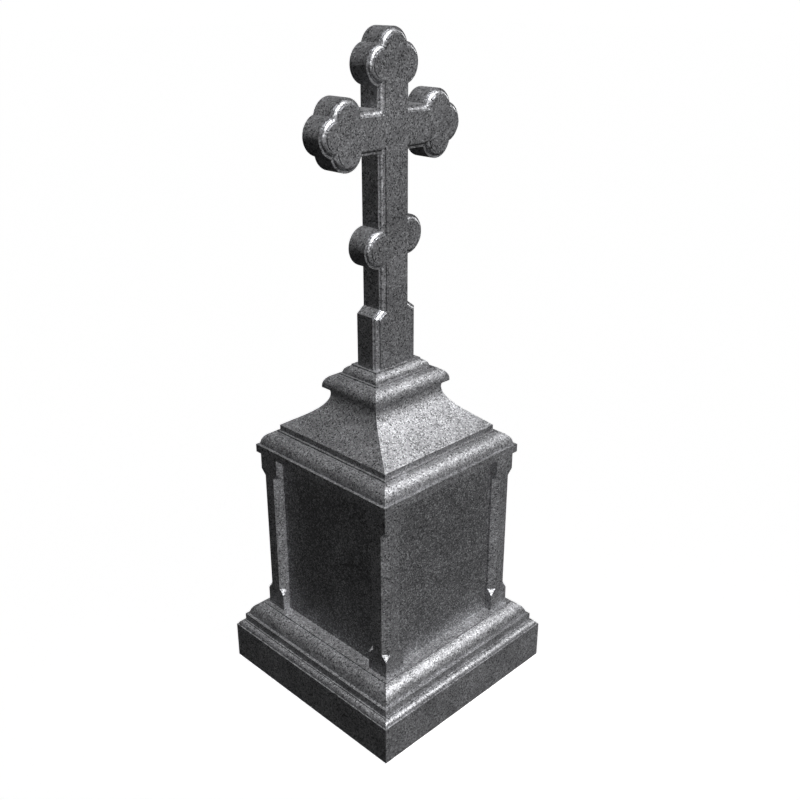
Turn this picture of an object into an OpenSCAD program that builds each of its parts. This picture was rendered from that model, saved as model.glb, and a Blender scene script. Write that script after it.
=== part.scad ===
// Granite grave cross: a stepped pedestal with four corner posts and
// recessed panels, a swept roof stone, a small moulded neck and a cross with
// trefoil ends. Z is up, the cross faces -Y, and the origin is the centre of
// the underside of the plinth.

/* [Plinth] */
// Width of the square plinth block
plinth_w = 700; // [600:1:900]
// Height of the plinth block
plinth_h = 121; // [80:1:200]

/* [Base mouldings] */
// Width over the bead course on the plinth
bead_w = 692; // [600:1:760]
// Radius of the bead's quarter round
bead_r = 14; // [8:0.5:20]
// Upright step at the bead's top
bead_step = 3.5; // [2:0.5:8]
// Width of the base band
base_band_w = 656; // [560:1:700]
// Height of the base band
base_band_h = 23.5; // [15:0.5:40]
// Width over the base quarter round
base_round_w = 637; // [540:1:680]
// Radius of the base quarter round
base_round_r = 43.5; // [25:0.5:60]
// Width of the sill on top of the base quarter round
sill_w = 567; // [541:1:620]
// Upright step under the sill
sill_step = 4; // [2:0.5:8]

/* [Die] */
// Width over the corner posts
die_w = 539; // [420:1:640]
// Height of the posts and panels
die_h = 543.5; // [350:0.5:800]
// Width of one square post
post_w = 72; // [50:1:110]
// Leg of the chamfer on a post's arris
post_chamfer = 17.5; // [8:0.5:20]
// Plain length left on a post beyond each chamfer stop
post_plain = 56.5; // [30:0.5:90]
// Length over which a chamfer runs out
stop_len = 18; // [8:0.5:30]
// Depth of the panels behind the faces of the posts
panel_recess = 25.5; // [19:0.5:30]
// Thickness of a panel
panel_t = 40; // [20:1:45]

/* [Cornice] */
// Width of the cornice band
cornice_band_w = 557; // [500:1:660]
// Height of the cornice band
cornice_band_h = 25; // [15:0.5:40]
// Width over the cornice quarter round
cornice_round_w = 539; // [480:1:640]
// Radius of the cornice quarter round
cornice_round_r = 42; // [25:0.5:60]
// Width of the cornice's top
cornice_top_w = 463; // [400:1:560]
// Upright step at the cornice's top
cornice_step = 5; // [2:0.5:8]

/* [Roof stone] */
// Width of the square roof stone
roof_w = 450; // [400:1:520]
// Height of its upright edge
roof_edge_h = 17; // [8:0.5:30]
// Height of the sweep from the edge up to the throat
roof_sweep_h = 116; // [80:1:160]
// Slope of the sweep where it leaves the edge
roof_slope = 37; // [20:1:50]
// Length of the sweep's straight start
roof_start = 56; // [20:1:80]
// Height of the upright pull at the throat
throat_pull = 46; // [20:1:70]
// Radius of the hollow above the throat
throat_r = 17.5; // [10:0.5:25]

/* [Neck] */
// Width of the seat under the cross
seat_w = 179; // [166:1:220]
// Depth of the seat under the cross
seat_d = 103; // [92:1:140]
// Radius of the seat's quarter round
seat_round_r = 24; // [12:0.5:30]
// How far the seat's quarter round stands out past the seat
seat_round_out = 19; // [10:0.5:24]
// Upright step under the seat
seat_step = 4.5; // [2:0.5:8]
// How far the shelf below stands out past the seat
shelf_out = 25.5; // [20:0.5:40]
// Radius of the nose's quarter round
nose_r = 36; // [20:0.5:50]
// Upright step at the nose's top
nose_step = 4; // [2:0.5:8]
// Height of the nose's upright lip
nose_lip = 4.5; // [2:0.5:12]

/* [Cross] */
// Thickness of the cross over its two faces
cross_t = 93; // [60:1:100]
// Height of the cross above its seat
cross_h = 909; // [700:1:1200]
// Width over the two arms
cross_span = 512; // [420:1:640]
// Height of the middle of the arms above the seat
arm_z = 655.5; // [500:1:760]
// Width of the upright shaft
shaft_w = 113; // [100:1:140]
// Height of an arm
arm_h = 113; // [100:1:140]
// Radius of one lobe
lobe_r = 54; // [46:0.5:58]
// Distance of a side lobe's centre from the arm's middle line
lobe_side = 39; // [28:0.5:42]
// Distance of the end lobe's centre past the side lobes
lobe_reach = 36.5; // [24:0.5:42]
// Width of the foot
foot_w = 165; // [130:1:178]
// Height of the foot up to its shoulders
foot_h = 155.5; // [100:0.5:220]
// Height of the sloping shoulders
shoulder_h = 19; // [8:0.5:40]
// Radius of the short lower bar's ends
stub_r = 55.5; // [46:0.5:60]
// Distance of the stub's centre from the middle line
stub_side = 54; // [40:0.5:60]
// Height of the lower bar's middle above the seat
stub_z = 357; // [250:1:430]
// Half of the height difference between the lower bar's two ends
stub_tilt = 12; // [0:0.5:30]
// Flat ledge around the edge of the cross
edge_ledge = 6; // [3:0.5:10]
// Radius of the quarter round inside the ledge
edge_r = 10.5; // [6:0.5:14]
// Upright step from the quarter round to the face
edge_step = 5; // [2:0.5:6]

/* [Hidden] */
$fn = 96;
SWEEP_STEPS = 28;

// Heights of the courses, each standing on the one below
bead_z = plinth_h;
bead_h = bead_r + bead_step;
base_band_z = bead_z + bead_h;
base_round_z = base_band_z + base_band_h;
sill_z = base_round_z + round_rise(base_round_w, sill_w, base_round_r) + sill_step;
cornice_z = sill_z + die_h;
cornice_round_z = cornice_z + cornice_band_h;
roof_z = cornice_round_z
    + round_rise(cornice_round_w, cornice_top_w, cornice_round_r) + cornice_step;
throat_z = roof_z + roof_edge_h + roof_sweep_h;
nose_z = throat_z + throat_r;
shelf_z = nose_z + nose_lip + nose_r + nose_step;
seat_z = shelf_z
    + round_rise(seat_w + 2 * seat_round_out, seat_w, seat_round_r) + seat_step;

// Outer size of the nose, and of the throat under it
nose_out = shelf_out + nose_r;
throat_in = nose_out - throat_r;
bead_top_w = bead_w - 2 * bead_r;

// The panels run between the flanks of the posts
panel_w = die_w - 2 * post_w;

// Thickness of the cross at its ledge, and how far its face is set in
band_t = cross_t - 2 * (edge_r + edge_step);
face_inset = edge_ledge + edge_r;
lobe_line = cross_span / 2 - lobe_r - lobe_reach;
top_line = cross_h - lobe_r - lobe_reach;

// Height at which a quarter round of radius r, on a course bottom_w wide,
// reaches the upright step at top_w
function round_rise(bottom_w, top_w, r) =
    let (in = max(0, r - (bottom_w - top_w) / 2)) sqrt(r * r - in * in);

// One point of a cubic curve through four control points
function cubic(p, t) = pow(1 - t, 3) * p[0] + 3 * pow(1 - t, 2) * t * p[1]
    + 3 * (1 - t) * t * t * p[2] + pow(t, 3) * p[3];

// Half outline of the roof stone on one side: an upright edge, a hollow sweep
// up to the throat and a small hollow out to the underside of the nose
function roof_side(edge, throat) = let (
    run = edge - throat,
    low = [edge, roof_edge_h],
    high = [throat, roof_edge_h + roof_sweep_h],
    even_run = (roof_w - (seat_w + seat_d) / 2 - 2 * throat_in) / 2,
    start = roof_start * run / even_run,
    sweep = [low, low + [-start * cos(roof_slope), roof_start * sin(roof_slope)],
        high - [0, throat_pull], high]
) concat(
    [[edge, 0]],
    [for (i = [0:SWEEP_STEPS]) cubic(sweep, i / SWEEP_STEPS)],
    [for (a = [12:12:84]) high + throat_r * [1 - cos(a), sin(a)]],
    [[throat + throat_r, roof_edge_h + roof_sweep_h + throat_r]]);

// Half outline mirrored about the middle line
module both_sides(side) {
    polygon(concat(side, [for (i = [len(side) - 1:-1:0]) [-side[i][0], side[i][1]]]));
}

// A stone that shows one outline from the front and one from the side
module mitred(long) {
    intersection() {
        rotate([90, 0, 0]) linear_extrude(long, center = true) children(0);
        rotate([90, 0, 90]) linear_extrude(long, center = true) children(1);
    }
}

// Outline of a moulding: an upright lip, a quarter round and an upright step
module round_outline(bottom_w, top_w, r, lip, step) {
    core = bottom_w / 2 - r;
    rise = round_rise(bottom_w, top_w, r);
    if (lip > 0) translate([-bottom_w / 2, 0]) square([bottom_w, lip]);
    translate([-top_w / 2, 0]) square([top_w, lip + rise + step]);
    translate([0, lip]) intersection() {
        union() {
            for (s = [-1, 1]) translate([s * core, 0]) circle(r);
            translate([-core, 0]) square([2 * core, r]);
        }
        translate([-bottom_w / 2, 0]) square([bottom_w, rise]);
    }
}

module round_course(w, d, top_w, top_d, r, lip, step) {
    mitred(w + d) {
        round_outline(w, top_w, r, lip, step);
        round_outline(d, top_d, r, lip, step);
    }
}

module block(w, d, h) {
    translate([-w / 2, -d / 2, 0]) cube([w, d, h]);
}

module plinth_block() {
    color("dimgray") block(plinth_w, plinth_w, plinth_h);
}

module bead_course() {
    color("dimgray") translate([0, 0, bead_z])
        round_course(bead_w, bead_w, bead_top_w, bead_top_w, bead_r, 0, bead_step);
}

module base_band() {
    color("dimgray") translate([0, 0, base_band_z])
        block(base_band_w, base_band_w, base_band_h);
}

module base_moulding() {
    color("dimgray") translate([0, 0, base_round_z])
        round_course(base_round_w, base_round_w, sill_w, sill_w, base_round_r, 0, sill_step);
}

// Cutter for one stopped chamfer on the arris at the origin, whose outside
// points along +X
module stopped_chamfer() {
    depth = post_chamfer / sqrt(2);
    over = depth;
    slope = stop_len / depth;
    low = post_plain;
    high = die_h - post_plain;
    rotate([90, 0, 0]) linear_extrude(2 * post_chamfer, center = true) polygon([
        [-depth, low + stop_len], [over, low - slope * over],
        [over, high + slope * over], [-depth, high - stop_len]]);
}

// One square post with stopped chamfers on the arrises that show. sx and sy
// say which corner of the die it stands at.
module post(sx, sy) {
    mid = (die_w - post_w) / 2;
    color("gray") translate([sx * mid, sy * mid, sill_z]) difference() {
        block(post_w, post_w, die_h);
        for (c = [[sx, sy], [-sx, sy], [sx, -sy]])
            translate([c[0] * post_w / 2, c[1] * post_w / 2, 0])
                rotate([0, 0, atan2(c[1], c[0])]) stopped_chamfer();
    }
}

// One panel between two posts, on the side that faces the angle a
module panel(a) {
    out = die_w / 2 - panel_recess;
    color("slategray") rotate([0, 0, a]) translate([out - panel_t, -panel_w / 2, sill_z])
        cube([panel_t, panel_w, die_h]);
}

module cornice_band() {
    color("dimgray") translate([0, 0, cornice_z])
        block(cornice_band_w, cornice_band_w, cornice_band_h);
}

module cornice_moulding() {
    color("dimgray") translate([0, 0, cornice_round_z])
        round_course(cornice_round_w, cornice_round_w, cornice_top_w, cornice_top_w,
            cornice_round_r, 0, cornice_step);
}

module roof_stone() {
    color("gray") translate([0, 0, roof_z]) mitred(2 * roof_w) {
        both_sides(roof_side(roof_w / 2, seat_w / 2 + throat_in));
        both_sides(roof_side(roof_w / 2, seat_d / 2 + throat_in));
    }
}

module neck_nose() {
    color("gray") translate([0, 0, nose_z])
        round_course(seat_w + 2 * nose_out, seat_d + 2 * nose_out,
            seat_w + 2 * shelf_out, seat_d + 2 * shelf_out, nose_r, nose_lip, nose_step);
}

module cross_seat() {
    color("gray") translate([0, 0, shelf_z])
        round_course(seat_w + 2 * seat_round_out, seat_d + 2 * seat_round_out,
            seat_w, seat_d, seat_round_r, 0, seat_step);
}

// Half section through the raised middle of the cross, for X > 0: a core as
// thick as the band, a quarter round on either face and the step to the face.
// half is the half width over the ledge, t the thickness over the faces.
module relief_section(half, t) {
    in = half - face_inset;
    translate([0, -t / 2]) square([in, t]);
    translate([0, -band_t / 2]) square([in + edge_r, band_t]);
    for (s = [-1, 1]) intersection() {
        translate([in, s * band_t / 2]) rotate(s * 225) circle(edge_r);
        translate([0, s * cross_t / 4 - cross_t / 4]) square([half, cross_t / 2]);
    }
}

module relief_disc(r, x, z) {
    translate([x, 0, z]) rotate([90, 0, 0]) rotate_extrude() relief_section(r, cross_t);
}

module relief_bar(w, long) {
    linear_extrude(long) union() {
        relief_section(w / 2, cross_t);
        mirror([1, 0]) relief_section(w / 2, cross_t);
    }
}

// Three raised lobes at an end whose side lobes stand at height z
module relief_trefoil(z) {
    relief_disc(lobe_r, 0, z + lobe_reach);
    for (s = [-1, 1]) relief_disc(lobe_r, s * lobe_side, z);
}

// The foot's slope on side s, as the raised edge of a wide thick plate. It
// runs on inside the shaft.
module relief_shoulder(s) {
    slope = atan2(shoulder_h, (foot_w - shaft_w) / 2);
    reach = 2 * foot_w;
    translate([s * foot_w / 2, 0, foot_h]) rotate([0, s * slope, 0])
        translate([-reach, 0, 0]) rotate([0, 90, 0]) linear_extrude(2 * reach)
            mirror([1, 0]) translate([-reach, 0]) relief_section(reach, 2 * cross_t);
}

module relief_foot() {
    intersection() {
        relief_bar(foot_w, foot_h + 2 * shoulder_h);
        relief_shoulder(-1);
        relief_shoulder(1);
    }
}

// Outline of three lobes
module trefoil(z) {
    translate([0, z + lobe_reach]) circle(lobe_r);
    for (s = [-1, 1]) translate([s * lobe_side, z]) circle(lobe_r);
}

// Outline of the whole cross
module cross_outline() {
    polygon([[-foot_w / 2, 0], [foot_w / 2, 0], [foot_w / 2, foot_h],
        [shaft_w / 2, foot_h + shoulder_h], [-shaft_w / 2, foot_h + shoulder_h],
        [-foot_w / 2, foot_h]]);
    translate([-shaft_w / 2, 0]) square([shaft_w, top_line]);
    translate([-lobe_line, arm_z - arm_h / 2]) square([2 * lobe_line, arm_h]);
    trefoil(top_line);
    for (s = [-1, 1]) {
        translate([0, arm_z]) rotate(s * 90) trefoil(lobe_line);
        translate([s * stub_side, stub_z + s * stub_tilt]) circle(stub_r);
    }
}

module cross() {
    color("dimgray") translate([0, 0, seat_z]) union() {
        rotate([90, 0, 0]) linear_extrude(band_t, center = true) cross_outline();
        relief_foot();
        relief_bar(shaft_w, top_line);
        translate([-lobe_line, 0, arm_z]) rotate([0, 90, 0]) relief_bar(arm_h, 2 * lobe_line);
        relief_trefoil(top_line);
        for (s = [-1, 1]) {
            translate([0, 0, arm_z]) rotate([0, s * 90, 0]) relief_trefoil(lobe_line);
            relief_disc(stub_r, s * stub_side, stub_z + s * stub_tilt);
        }
    }
}

plinth_block();
bead_course();
base_band();
base_moulding();
post(-1, -1);  // post_front_left
post(1, -1);  // post_front_right
post(1, 1);  // post_back_right
post(-1, 1);  // post_back_left
panel(270);  // panel_front
panel(0);  // panel_right
panel(90);  // panel_back
panel(180);  // panel_left
cornice_band();
cornice_moulding();
roof_stone();
neck_nose();
cross_seat();
cross();
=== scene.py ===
# %% [markdown]
# # A granite grave cross
# The monument is a square pedestal of stacked stones with a cross on top. Its
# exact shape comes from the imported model, in metres with +Z up. This lesson
# gives it its stone, a floor, light and a camera.

# %% Start
import math

import bpy
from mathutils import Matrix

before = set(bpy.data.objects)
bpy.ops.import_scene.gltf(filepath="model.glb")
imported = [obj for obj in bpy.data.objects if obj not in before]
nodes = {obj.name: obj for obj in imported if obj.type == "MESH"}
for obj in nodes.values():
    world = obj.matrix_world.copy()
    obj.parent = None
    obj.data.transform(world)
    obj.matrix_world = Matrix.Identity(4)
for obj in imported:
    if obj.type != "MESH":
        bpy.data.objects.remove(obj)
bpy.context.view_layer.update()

# %% [markdown]
# Granite is a mosaic of crystals about 3 mm across: grey feldspar, clear
# quartz and black mica. An image of real stone would show them, but it would
# have to be unwrapped onto every stone. A solid pattern read from Object
# coordinates needs no unwrapping, and runs on round an arris as real crystals
# do. The crystals are one node group, so all the stones share it.

# %% A node group for the crystals
CRYSTALS_PER_METRE = 300.0
CLOUDS_PER_METRE = 9.0


def new_group(name, inputs, outputs):
    """Returns a new shader group with its input and output nodes."""
    group = bpy.data.node_groups.new(name, "ShaderNodeTree")
    for label, kind, value in inputs:
        socket = group.interface.new_socket(name=label, in_out="INPUT", socket_type=kind)
        socket.default_value = value
    for label, kind in outputs:
        group.interface.new_socket(name=label, in_out="OUTPUT", socket_type=kind)
    return group, group.nodes.new("NodeGroupInput"), group.nodes.new("NodeGroupOutput")


def wire(tree, kind, settings=None, inputs=None):
    """Adds one node of the given kind, sets its values and links its inputs."""
    node = tree.nodes.new(kind)
    for key, value in (settings or {}).items():
        setattr(node, key, value)
    for socket, value in (inputs or {}).items():
        if isinstance(value, bpy.types.NodeSocket):
            tree.links.new(value, node.inputs[socket])
        else:
            node.inputs[socket].default_value = value
    return node


crystals, crystals_in, crystals_out = new_group(
    "granite crystals",
    [
        ("Crystals per metre", "NodeSocketFloat", CRYSTALS_PER_METRE),
        ("Ground", "NodeSocketColor", (0.17, 0.17, 0.175, 1)),
        ("Feldspar", "NodeSocketColor", (0.5, 0.51, 0.52, 1)),
        ("Mica", "NodeSocketColor", (0.05, 0.05, 0.052, 1)),
        ("Polish", "NodeSocketFloat", 0.40),
        ("Polish change", "NodeSocketFloat", 0.08),
    ],
    [
        ("Color", "NodeSocketColor"),
        ("Roughness", "NodeSocketFloat"),
        ("Height", "NodeSocketFloat"),
    ],
)
place = wire(crystals, "ShaderNodeTexCoord").outputs["Object"]
per_metre = crystals_in.outputs["Crystals per metre"]
cells = wire(crystals, "ShaderNodeTexVoronoi", inputs={"Vector": place, "Scale": per_metre})
tone = wire(crystals, "ShaderNodeSeparateColor", inputs={0: cells.outputs["Color"]})
fine = wire(
    crystals,
    "ShaderNodeTexNoise",
    inputs={"Vector": place, "Scale": per_metre, "Detail": 3.0, "Roughness": 0.6},
)
cloud = wire(
    crystals,
    "ShaderNodeTexNoise",
    inputs={"Vector": place, "Scale": CLOUDS_PER_METRE, "Detail": 4.0, "Roughness": 0.55},
)
print("crystal sources:", [n.name for n in (cells, fine, cloud)])

# %% [markdown]
# Each cell has three random numbers of its own. A high first number makes it
# feldspar and a high second one makes it mica; about a fifth of the cells are
# mostly the one, and about a fifth mostly the other. A finer noise breaks up
# the feldspar. A soft cloud over some 10 cm makes one area a little lighter
# than the next, as in a sawn slab. The third number changes the polish.

# %% Colour, polish and height of the crystals
feldspar = wire(
    crystals,
    "ShaderNodeMapRange",
    settings={"interpolation_type": "SMOOTHSTEP"},
    inputs={"Value": tone.outputs[0], "From Min": 0.55, "From Max": 1.0},
)
mica = wire(
    crystals,
    "ShaderNodeMapRange",
    settings={"interpolation_type": "SMOOTHSTEP"},
    inputs={"Value": tone.outputs[1], "From Min": 0.6, "From Max": 0.95},
)
grain = wire(
    crystals,
    "ShaderNodeMath",
    settings={"operation": "MULTIPLY"},
    inputs={0: feldspar.outputs[0], 1: fine.outputs["Fac"]},
)
with_feldspar = wire(
    crystals,
    "ShaderNodeMix",
    settings={"data_type": "RGBA"},
    inputs={
        "Factor": grain.outputs[0],
        "A": crystals_in.outputs["Ground"],
        "B": crystals_in.outputs["Feldspar"],
    },
)
with_mica = wire(
    crystals,
    "ShaderNodeMix",
    settings={"data_type": "RGBA"},
    inputs={
        "Factor": mica.outputs[0],
        "A": with_feldspar.outputs["Result"],
        "B": crystals_in.outputs["Mica"],
    },
)
clouded = wire(
    crystals,
    "ShaderNodeMapRange",
    inputs={
        "Value": cloud.outputs["Fac"],
        "From Min": 0.3,
        "From Max": 0.7,
        "To Min": 0.8,
        "To Max": 1.2,
    },
)
stone_color = wire(
    crystals,
    "ShaderNodeMix",
    settings={"data_type": "RGBA", "blend_type": "MULTIPLY"},
    inputs={"Factor": 1.0, "A": with_mica.outputs["Result"], "B": clouded.outputs[0]},
)
polish = wire(
    crystals,
    "ShaderNodeMath",
    settings={"operation": "MULTIPLY_ADD"},
    inputs={
        0: tone.outputs[2],
        1: crystals_in.outputs["Polish change"],
        2: crystals_in.outputs["Polish"],
    },
)
relief = wire(
    crystals,
    "ShaderNodeMath",
    settings={"operation": "ADD"},
    inputs={0: tone.outputs[0], 1: fine.outputs["Fac"]},
)
crystals.links.new(stone_color.outputs["Result"], crystals_out.inputs["Color"])
crystals.links.new(polish.outputs[0], crystals_out.inputs["Roughness"])
crystals.links.new(relief.outputs[0], crystals_out.inputs["Height"])
print("crystal group:", len(crystals.nodes), "nodes")

# %% [markdown]
# The polished faces are dark with a broad grey sheen, and the sheen itself is
# speckled. A plain gloss over a dark base would give every crystal the same
# sheen. A high metallic share lets each crystal's own grey set how much it
# throws back, and leaves the base dark. Real granite isn't metallic: the share
# is there for the look alone. A very small bump breaks the sheen into glints.

# %% The polished granite
METALLIC_SHARE = 0.92
STONE_IOR = 1.55
BUMP_STRENGTH = 0.15
BUMP_DISTANCE = 0.0006
COOL_TINT = 1.04


def granite(name, ground, polish_value):
    """Returns a granite with its own grey ground and roughness."""
    material = bpy.data.materials.new(name)
    material.use_nodes = True
    tree = material.node_tree
    shader = tree.nodes["Principled BSDF"]
    shader.inputs["Metallic"].default_value = METALLIC_SHARE
    shader.inputs["IOR"].default_value = STONE_IOR
    stone = tree.nodes.new("ShaderNodeGroup")
    stone.node_tree = crystals
    stone.inputs["Ground"].default_value = (ground, ground, ground * COOL_TINT, 1)
    stone.inputs["Polish"].default_value = polish_value
    uneven = wire(
        tree,
        "ShaderNodeBump",
        inputs={
            "Strength": BUMP_STRENGTH,
            "Distance": BUMP_DISTANCE,
            "Height": stone.outputs["Height"],
        },
    )
    tree.links.new(stone.outputs["Color"], shader.inputs["Base Color"])
    tree.links.new(stone.outputs["Roughness"], shader.inputs["Roughness"])
    tree.links.new(uneven.outputs["Normal"], shader.inputs["Normal"])
    return material


course_granite = granite("polished granite, courses", 0.18, 0.42)
# Painted shade: the panels get the same granite with a darker ground, 0.118 against 0.18,
# so they read darker than the courses; with the high metallic share this also dims their
# sheen.
panel_granite_painted_shade = granite("polished granite, panels, darkened as painted shade", 0.118, 0.41)
cross_granite = granite("polished granite, cross", 0.18, 0.42)
for name, stone in nodes.items():
    finish = panel_granite_painted_shade if name.startswith("panel") else course_granite
    finish = cross_granite if name == "cross" else finish
    stone.data.materials.clear()
    stone.data.materials.append(finish)
print("stones with granite:", len(nodes))

# %% [markdown]
# A wide pale floor gives off part of its own light, so it stays even and
# white. The key lamp stands high in front and the fill low at the left. Two
# weak low lamps keep the right and the back from going black. All four light
# only the stone and cast no shadow. The world is white for the camera, dim for
# other rays and dimmer still in the gloss, or the polish would turn every face
# to grey.

# %% Floor, world and lamps
FLOOR_HALF_SIDE = 40
SKY_FOR_CAMERA = 1.0
SKY_FOR_OTHERS = 0.06
SKY_FOR_GLOSS = 0.006
# Name, degrees left of the front, degrees up, irradiance, degrees wide.
LAMPS = [
    ("key", 2, 54, 18.0, 10),
    ("fill", 54, 12, 1.5, 10),
    ("right", -100, 8, 1.0, 20),
    ("back", 180, 8, 1.1, 20),
]

half = FLOOR_HALF_SIDE
floor_corners = [(-half, -half, 0), (half, -half, 0), (half, half, 0), (-half, half, 0)]
floor_mesh = bpy.data.meshes.new("floor")
floor_mesh.from_pydata(floor_corners, [], [(0, 1, 2, 3)])
floor = bpy.data.objects.new("floor", floor_mesh)
bpy.context.scene.collection.objects.link(floor)
floor.visible_glossy = False
floor.visible_diffuse = False
paper = bpy.data.materials.new("pale floor")
paper.use_nodes = True
sheet = paper.node_tree.nodes["Principled BSDF"]
sheet.inputs["Base Color"].default_value = (0.8, 0.8, 0.8, 1)
sheet.inputs["Roughness"].default_value = 1.0
sheet.inputs["Specular IOR Level"].default_value = 0.0
sheet.inputs["Emission Color"].default_value = (1, 1, 1, 1)
sheet.inputs["Emission Strength"].default_value = 0.95
floor_mesh.materials.append(paper)

world = bpy.data.worlds.new("studio")
bpy.context.scene.world = world
world.use_nodes = True
sky = world.node_tree
rays = sky.nodes.new("ShaderNodeLightPath")
white = sky.nodes["Background"]
white.inputs["Color"].default_value = (1, 1, 1, 1)
seen_strength = wire(
    sky,
    "ShaderNodeMapRange",
    inputs={
        "Value": rays.outputs["Is Camera Ray"],
        "To Min": SKY_FOR_OTHERS,
        "To Max": SKY_FOR_CAMERA,
    },
)
sky_strength = wire(
    sky,
    "ShaderNodeMapRange",
    inputs={
        "Value": rays.outputs["Is Glossy Ray"],
        "To Min": seen_strength.outputs[0],
        "To Max": SKY_FOR_GLOSS,
    },
)
sky.links.new(sky_strength.outputs[0], white.inputs["Strength"])

lit = bpy.data.collections.new("lit stones")
for stone in nodes.values():
    lit.objects.link(stone)


def lamp(name, azimuth, elevation, irradiance, width):
    """Returns a sun lamp that stands azimuth degrees left of the front and
    elevation degrees up, and looks width degrees wide."""
    data = bpy.data.lights.new(name, "SUN")
    data.energy = irradiance
    data.angle = math.radians(width)
    data.use_shadow = False
    sun = bpy.data.objects.new(name, data)
    sun.rotation_euler = (math.radians(90 - elevation), 0, -math.radians(azimuth))
    bpy.context.scene.collection.objects.link(sun)
    sun.light_linking.receiver_collection = lit
    return sun


lamps = [lamp(*row) for row in LAMPS]
print("lamps:", [item.name for item in lamps])

# %% [markdown]
# The camera looks down at the near corner from above eye height, close enough
# for strong perspective.

# %% Camera
CAMERA_PLACE = (-1.83525, -1.89139, 2.06684)
DEGREES_DOWN = 23.4943
DEGREES_RIGHT = 45.0131
SENSOR_MM = 36.0
LENS_MM = 43.75

camera_data = bpy.data.cameras.new("camera")
camera_data.sensor_width = SENSOR_MM
camera_data.lens = LENS_MM
camera = bpy.data.objects.new("camera", camera_data)
camera.location = CAMERA_PLACE
camera.rotation_euler = (math.radians(90 - DEGREES_DOWN), 0, math.radians(-DEGREES_RIGHT))
bpy.context.scene.collection.objects.link(camera)
bpy.context.scene.camera = camera
bpy.context.scene.view_settings.view_transform = "Standard"
print("camera at", tuple(round(v, 3) for v in camera.location))
